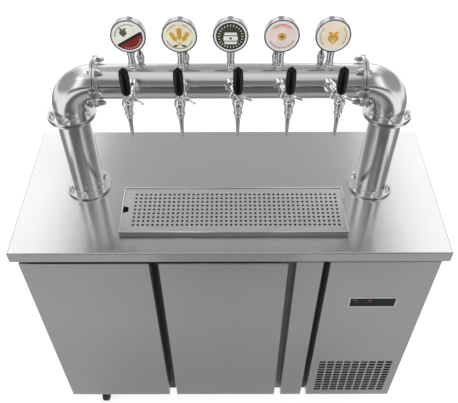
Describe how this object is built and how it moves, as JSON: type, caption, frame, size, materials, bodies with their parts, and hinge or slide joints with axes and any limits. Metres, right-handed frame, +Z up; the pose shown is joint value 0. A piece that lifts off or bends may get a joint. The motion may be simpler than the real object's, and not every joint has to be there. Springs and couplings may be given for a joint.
{
  "type": "draft beer cabinet",
  "caption": "Refrigerated bar cabinet on castors with a stainless worktop, a flanged pipe tower of compensator taps with lit medallions, and a lift-out drip grid.",
  "frame": {"origin": "on the floor under the middle of the worktop", "axes": "+X right and +Y back as the doors are faced, +Z up"},
  "size_m": [1.2, 0.5, 1.5261],
  "materials": {
    "brushed_stainless": "fine straight brushed stainless steel",
    "polished_stainless": "polished stainless pipe, sharp reflections",
    "tap_chrome": "bright chrome plate",
    "nozzle_steel": "satin drawn stainless tube",
    "grip_black": "glossy black moulding",
    "liner_white": "white foamed lining",
    "frame_grey": "satin grey moulding",
    "seal_rubber": "soft matt black rubber",
    "lead_black": "matt black sheath",
    "line_clear": "milky hose",
    "controller_black": "dark touch glass in a light bezel",
    "medallion_print": "printed disc under a clear dome",
    "castor_zinc": "zinc plated pressed steel",
    "wheel_black": "black solid tread",
    "unit_black": "black enamel",
    "fin_aluminium": "mill finish fins on tubes",
    "fan_black": "black moulded blades"
  },
  "bodies": {
    "cabinet": {"cabinet_case": "brushed_stainless", "chamber_liner": "liner_white", "front_frame": "frame_grey", "worktop": "brushed_stainless", "pilaster": "brushed_stainless", "service_panel": "brushed_stainless", "controller": "controller_black", "compressor": "unit_black", "condenser": "fin_aluminium", "condenser_fan_motor": "unit_black", "evaporator": "fin_aluminium", "hinge_brackets": "polished_stainless", "drip_tray": "brushed_stainless", "pillar_left": "polished_stainless", "pillar_right": "polished_stainless", "elbow_left": "polished_stainless", "elbow_right": "polished_stainless", "bridge": "polished_stainless", "flange_seals": "seal_rubber", "flange_bolts": "polished_stainless", "beer_lines": "line_clear", "tap_shanks": "tap_chrome", "tap_bodies": "tap_chrome", "tap_nozzles": "nozzle_steel", "medallion_stands": "tap_chrome", "medallion_housings": "tap_chrome", "medallion_faces": "medallion_print", "medallion_leads": "lead_black", "castor_plates": "castor_zinc"},
    "door_left": {"door_left_skin": "brushed_stainless", "door_left_liner": "liner_white", "door_left_gasket": "seal_rubber"},
    "door_right": {"door_right_skin": "brushed_stainless", "door_right_liner": "liner_white", "door_right_gasket": "seal_rubber"},
    "drip_grid": {"drip_grid": "brushed_stainless"},
    "tap_handle_1": {"tap_lever_1": "tap_chrome", "tap_grip_1": "grip_black"},
    "tap_handle_2": {"tap_lever_2": "tap_chrome", "tap_grip_2": "grip_black"},
    "tap_handle_3": {"tap_lever_3": "tap_chrome", "tap_grip_3": "grip_black"},
    "tap_handle_4": {"tap_lever_4": "tap_chrome", "tap_grip_4": "grip_black"},
    "tap_handle_5": {"tap_lever_5": "tap_chrome", "tap_grip_5": "grip_black"},
    "compensator_1": {"compensator_1": "tap_chrome"},
    "compensator_2": {"compensator_2": "tap_chrome"},
    "compensator_3": {"compensator_3": "tap_chrome"},
    "compensator_4": {"compensator_4": "tap_chrome"},
    "compensator_5": {"compensator_5": "tap_chrome"},
    "castor_fork_1": {"castor_fork_1": "castor_zinc"},
    "castor_wheel_1": {"castor_wheel_1": "wheel_black"},
    "castor_fork_2": {"castor_fork_2": "castor_zinc"},
    "castor_wheel_2": {"castor_wheel_2": "wheel_black"},
    "castor_fork_3": {"castor_fork_3": "castor_zinc"},
    "castor_wheel_3": {"castor_wheel_3": "wheel_black"},
    "castor_fork_4": {"castor_fork_4": "castor_zinc"},
    "castor_wheel_4": {"castor_wheel_4": "wheel_black"},
    "condenser_fan": {"condenser_fan": "fan_black"}
  },
  "joints": [
    {"name": "door_left_hinge", "type": "hinge", "parent": "cabinet", "child": "door_left", "pos_m": [-0.575, -0.222, 0.519], "axis": [0, 0, -1], "range_deg": [0, 110]},
    {"name": "door_right_hinge", "type": "hinge", "parent": "cabinet", "child": "door_right", "pos_m": [0.153, -0.222, 0.519], "axis": [0, 0, 1], "range_deg": [0, 110]},
    {"name": "drip_grid_lift", "type": "slide", "parent": "cabinet", "child": "drip_grid", "axis": [0, 0, 1], "range_m": [0, 0.15]},
    {"name": "tap_handle_1_pull", "type": "hinge", "parent": "cabinet", "child": "tap_handle_1", "pos_m": [-0.24145, -0.09738, 1.374], "axis": [0.9986, -0.0523, 0], "range_deg": [0, 40]},
    {"name": "tap_handle_2_pull", "type": "hinge", "parent": "cabinet", "child": "tap_handle_2", "pos_m": [-0.117, -0.09747, 1.374], "axis": [1, 0, 0], "range_deg": [0, 40]},
    {"name": "tap_handle_3_pull", "type": "hinge", "parent": "cabinet", "child": "tap_handle_3", "pos_m": [0.02108, -0.09522, 1.374], "axis": [0.9659, 0.2588, 0], "range_deg": [0, 40]},
    {"name": "tap_handle_4_pull", "type": "hinge", "parent": "cabinet", "child": "tap_handle_4", "pos_m": [0.14319, -0.09491, 1.374], "axis": [0.9613, 0.2756, 0], "range_deg": [0, 40]},
    {"name": "tap_handle_5_pull", "type": "hinge", "parent": "cabinet", "child": "tap_handle_5", "pos_m": [0.26308, -0.09522, 1.374], "axis": [0.9659, 0.2588, 0], "range_deg": [0, 40]},
    {"name": "compensator_1_turn", "type": "hinge", "parent": "cabinet", "child": "compensator_1", "pos_m": [-0.24072, -0.0834, 1.368], "axis": [0.9986, -0.0523, 0], "range_deg": [-45, 45]},
    {"name": "compensator_2_turn", "type": "hinge", "parent": "cabinet", "child": "compensator_2", "pos_m": [-0.117, -0.08347, 1.368], "axis": [1, 0, 0], "range_deg": [-45, 45]},
    {"name": "compensator_3_turn", "type": "hinge", "parent": "cabinet", "child": "compensator_3", "pos_m": [0.01746, -0.0817, 1.368], "axis": [0.9659, 0.2588, 0], "range_deg": [-45, 45]},
    {"name": "compensator_4_turn", "type": "hinge", "parent": "cabinet", "child": "compensator_4", "pos_m": [0.13933, -0.08146, 1.368], "axis": [0.9613, 0.2756, 0], "range_deg": [-45, 45]},
    {"name": "compensator_5_turn", "type": "hinge", "parent": "cabinet", "child": "compensator_5", "pos_m": [0.25946, -0.0817, 1.368], "axis": [0.9659, 0.2588, 0], "range_deg": [-45, 45]},
    {"name": "castor_1_swivel", "type": "hinge", "parent": "cabinet", "child": "castor_fork_1", "pos_m": [-0.48, -0.165, 0.07], "axis": [0, 0, 1], "continuous": true},
    {"name": "castor_1_roll", "type": "hinge", "parent": "castor_fork_1", "child": "castor_wheel_1", "pos_m": [-0.48, -0.19, 0.03], "axis": [1, 0, 0], "continuous": true},
    {"name": "castor_2_swivel", "type": "hinge", "parent": "cabinet", "child": "castor_fork_2", "pos_m": [0.48, -0.165, 0.07], "axis": [0, 0, 1], "continuous": true},
    {"name": "castor_2_roll", "type": "hinge", "parent": "castor_fork_2", "child": "castor_wheel_2", "pos_m": [0.48, -0.14, 0.03], "axis": [1, 0, 0], "continuous": true},
    {"name": "castor_3_swivel", "type": "hinge", "parent": "cabinet", "child": "castor_fork_3", "pos_m": [-0.48, 0.165, 0.07], "axis": [0, 0, 1], "continuous": true},
    {"name": "castor_3_roll", "type": "hinge", "parent": "castor_fork_3", "child": "castor_wheel_3", "pos_m": [-0.48, 0.19, 0.03], "axis": [1, 0, 0], "continuous": true},
    {"name": "castor_4_swivel", "type": "hinge", "parent": "cabinet", "child": "castor_fork_4", "pos_m": [0.48, 0.165, 0.07], "axis": [0, 0, 1], "continuous": true},
    {"name": "castor_4_roll", "type": "hinge", "parent": "castor_fork_4", "child": "castor_wheel_4", "pos_m": [0.48, 0.19, 0.03], "axis": [1, 0, 0], "continuous": true},
    {"name": "condenser_fan_spin", "type": "hinge", "parent": "cabinet", "child": "condenser_fan", "pos_m": [0.432, -0.074, 0.1862], "axis": [0, 1, 0], "continuous": true}
  ]
}
